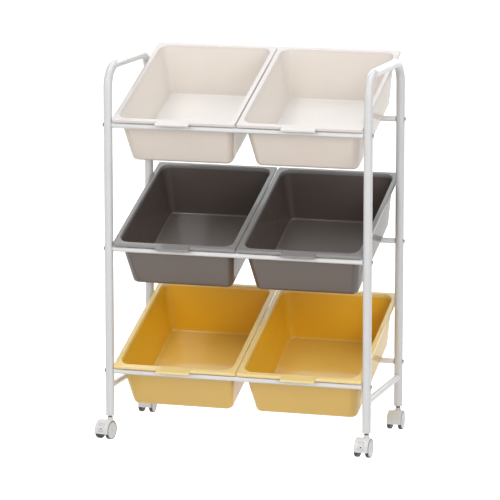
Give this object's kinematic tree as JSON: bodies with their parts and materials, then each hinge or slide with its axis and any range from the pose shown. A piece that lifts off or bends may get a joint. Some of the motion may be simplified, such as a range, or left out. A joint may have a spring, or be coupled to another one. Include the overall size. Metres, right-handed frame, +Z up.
{
  "type": "rolling storage rack",
  "caption": "Rolling toy storage rack for children: two bent tube side frames joined by cross bars, carrying tilted lift-out bins on tiers, on swivel casters with twin wheels.",
  "frame": {"origin": "on the floor, under the middle of the rectangle of the four posts", "axes": "+X across the rack to the right as seen from the open front, +Y to the back, +Z up"},
  "size_m": [0.6201, 0.3664, 0.8341],
  "materials": {
    "frame_white": "smooth white powder coat on steel tube",
    "steel_dark": "dark plated steel",
    "steel_plain": "zinc plated steel",
    "socket_white": "moulded white plastic",
    "bin_cream": "semi-gloss moulded plastic, off-white",
    "bin_grey": "semi-gloss moulded plastic, warm dark grey",
    "bin_yellow": "semi-gloss moulded plastic, mustard yellow",
    "caster_white": "moulded white plastic",
    "hub_white": "moulded white plastic",
    "tyre_dark": "dark moulded tread"
  },
  "bodies": {
    "rack": {"left_side_frame": "frame_white", "right_side_frame": "frame_white", "bar_top_front": "frame_white", "bar_top_rear": "frame_white", "bar_middle_front": "frame_white", "bar_middle_rear": "frame_white", "bar_low_front": "frame_white", "bar_low_rear": "frame_white", "bar_inserts": "steel_plain", "frame_screws": "steel_dark", "foot_sockets": "socket_white"},
    "low_left_bin": {"bin_low_left": "bin_yellow"},
    "low_right_bin": {"bin_low_right": "bin_yellow"},
    "middle_left_bin": {"bin_middle_left": "bin_grey"},
    "middle_right_bin": {"bin_middle_right": "bin_grey"},
    "top_left_bin": {"bin_top_left": "bin_cream"},
    "top_right_bin": {"bin_top_right": "bin_cream"},
    "caster_fl": {"stem_fl": "steel_dark", "hood_fl": "caster_white", "axle_fl": "steel_plain", "brake_pin_fl": "steel_plain"},
    "wheel_a_fl": {"hub_a_fl": "hub_white", "tyre_a_fl": "tyre_dark"},
    "wheel_b_fl": {"hub_b_fl": "hub_white", "tyre_b_fl": "tyre_dark"},
    "brake_lever_fl": {"brake_fl": "caster_white"},
    "caster_fr": {"stem_fr": "steel_dark", "hood_fr": "caster_white", "axle_fr": "steel_plain", "brake_pin_fr": "steel_plain"},
    "wheel_a_fr": {"hub_a_fr": "hub_white", "tyre_a_fr": "tyre_dark"},
    "wheel_b_fr": {"hub_b_fr": "hub_white", "tyre_b_fr": "tyre_dark"},
    "brake_lever_fr": {"brake_fr": "caster_white"},
    "caster_rl": {"stem_rl": "steel_dark", "hood_rl": "caster_white", "axle_rl": "steel_plain"},
    "wheel_a_rl": {"hub_a_rl": "hub_white", "tyre_a_rl": "tyre_dark"},
    "wheel_b_rl": {"hub_b_rl": "hub_white", "tyre_b_rl": "tyre_dark"},
    "caster_rr": {"stem_rr": "steel_dark", "hood_rr": "caster_white", "axle_rr": "steel_plain"},
    "wheel_a_rr": {"hub_a_rr": "hub_white", "tyre_a_rr": "tyre_dark"},
    "wheel_b_rr": {"hub_b_rr": "hub_white", "tyre_b_rr": "tyre_dark"}
  },
  "joints": [
    {"name": "low_left_bin_lift", "type": "slide", "parent": "rack", "child": "low_left_bin", "axis": [0, -0.3777, 0.9259], "range_m": [0, 0.12]},
    {"name": "low_right_bin_lift", "type": "slide", "parent": "rack", "child": "low_right_bin", "axis": [0, -0.3777, 0.9259], "range_m": [0, 0.12]},
    {"name": "middle_left_bin_lift", "type": "slide", "parent": "rack", "child": "middle_left_bin", "axis": [0, -0.3777, 0.9259], "range_m": [0, 0.12]},
    {"name": "middle_right_bin_lift", "type": "slide", "parent": "rack", "child": "middle_right_bin", "axis": [0, -0.3777, 0.9259], "range_m": [0, 0.12]},
    {"name": "top_left_bin_lift", "type": "slide", "parent": "rack", "child": "top_left_bin", "axis": [0, -0.3777, 0.9259], "range_m": [0, 0.12]},
    {"name": "top_right_bin_lift", "type": "slide", "parent": "rack", "child": "top_right_bin", "axis": [0, -0.3777, 0.9259], "range_m": [0, 0.12]},
    {"name": "swivel_fl", "type": "hinge", "parent": "rack", "child": "caster_fl", "pos_m": [-0.2895, -0.1365, 0.049], "axis": [0, 0, 1], "continuous": true},
    {"name": "wheel_a_fl_turn", "type": "hinge", "parent": "caster_fl", "child": "wheel_a_fl", "pos_m": [-0.29314, -0.15616, 0.02], "axis": [0.9833, -0.1822, 0], "continuous": true},
    {"name": "wheel_b_fl_turn", "type": "hinge", "parent": "caster_fl", "child": "wheel_b_fl", "pos_m": [-0.29314, -0.15616, 0.02], "axis": [0.9833, -0.1822, 0], "continuous": true},
    {"name": "brake_fl_press", "type": "hinge", "parent": "caster_fl", "child": "brake_lever_fl", "pos_m": [-0.29602, -0.17167, 0.02735], "axis": [-0.9833, 0.1822, 0], "range_deg": [0, 8]},
    {"name": "swivel_fr", "type": "hinge", "parent": "rack", "child": "caster_fr", "pos_m": [0.2895, -0.1365, 0.049], "axis": [0, 0, 1], "continuous": true},
    {"name": "wheel_a_fr_turn", "type": "hinge", "parent": "caster_fr", "child": "wheel_a_fr", "pos_m": [0.28845, -0.15647, 0.02], "axis": [0.9986, -0.0523, 0], "continuous": true},
    {"name": "wheel_b_fr_turn", "type": "hinge", "parent": "caster_fr", "child": "wheel_b_fr", "pos_m": [0.28845, -0.15647, 0.02], "axis": [0.9986, -0.0523, 0], "continuous": true},
    {"name": "brake_fr_press", "type": "hinge", "parent": "caster_fr", "child": "brake_lever_fr", "pos_m": [0.28763, -0.17222, 0.02735], "axis": [-0.9986, 0.0523, 0], "range_deg": [0, 8]},
    {"name": "swivel_rl", "type": "hinge", "parent": "rack", "child": "caster_rl", "pos_m": [-0.2895, 0.1365, 0.049], "axis": [0, 0, 1], "continuous": true},
    {"name": "wheel_a_rl_turn", "type": "hinge", "parent": "caster_rl", "child": "wheel_a_rl", "pos_m": [-0.28932, 0.1165, 0.02], "axis": [1, 0.0087, 0], "continuous": true},
    {"name": "wheel_b_rl_turn", "type": "hinge", "parent": "caster_rl", "child": "wheel_b_rl", "pos_m": [-0.28932, 0.1165, 0.02], "axis": [1, 0.0087, 0], "continuous": true},
    {"name": "swivel_rr", "type": "hinge", "parent": "rack", "child": "caster_rr", "pos_m": [0.2895, 0.1365, 0.049], "axis": [0, 0, 1], "continuous": true},
    {"name": "wheel_a_rr_turn", "type": "hinge", "parent": "caster_rr", "child": "wheel_a_rr", "pos_m": [0.28968, 0.1165, 0.02], "axis": [1, 0.0087, 0], "continuous": true},
    {"name": "wheel_b_rr_turn", "type": "hinge", "parent": "caster_rr", "child": "wheel_b_rr", "pos_m": [0.28968, 0.1165, 0.02], "axis": [1, 0.0087, 0], "continuous": true}
  ]
}
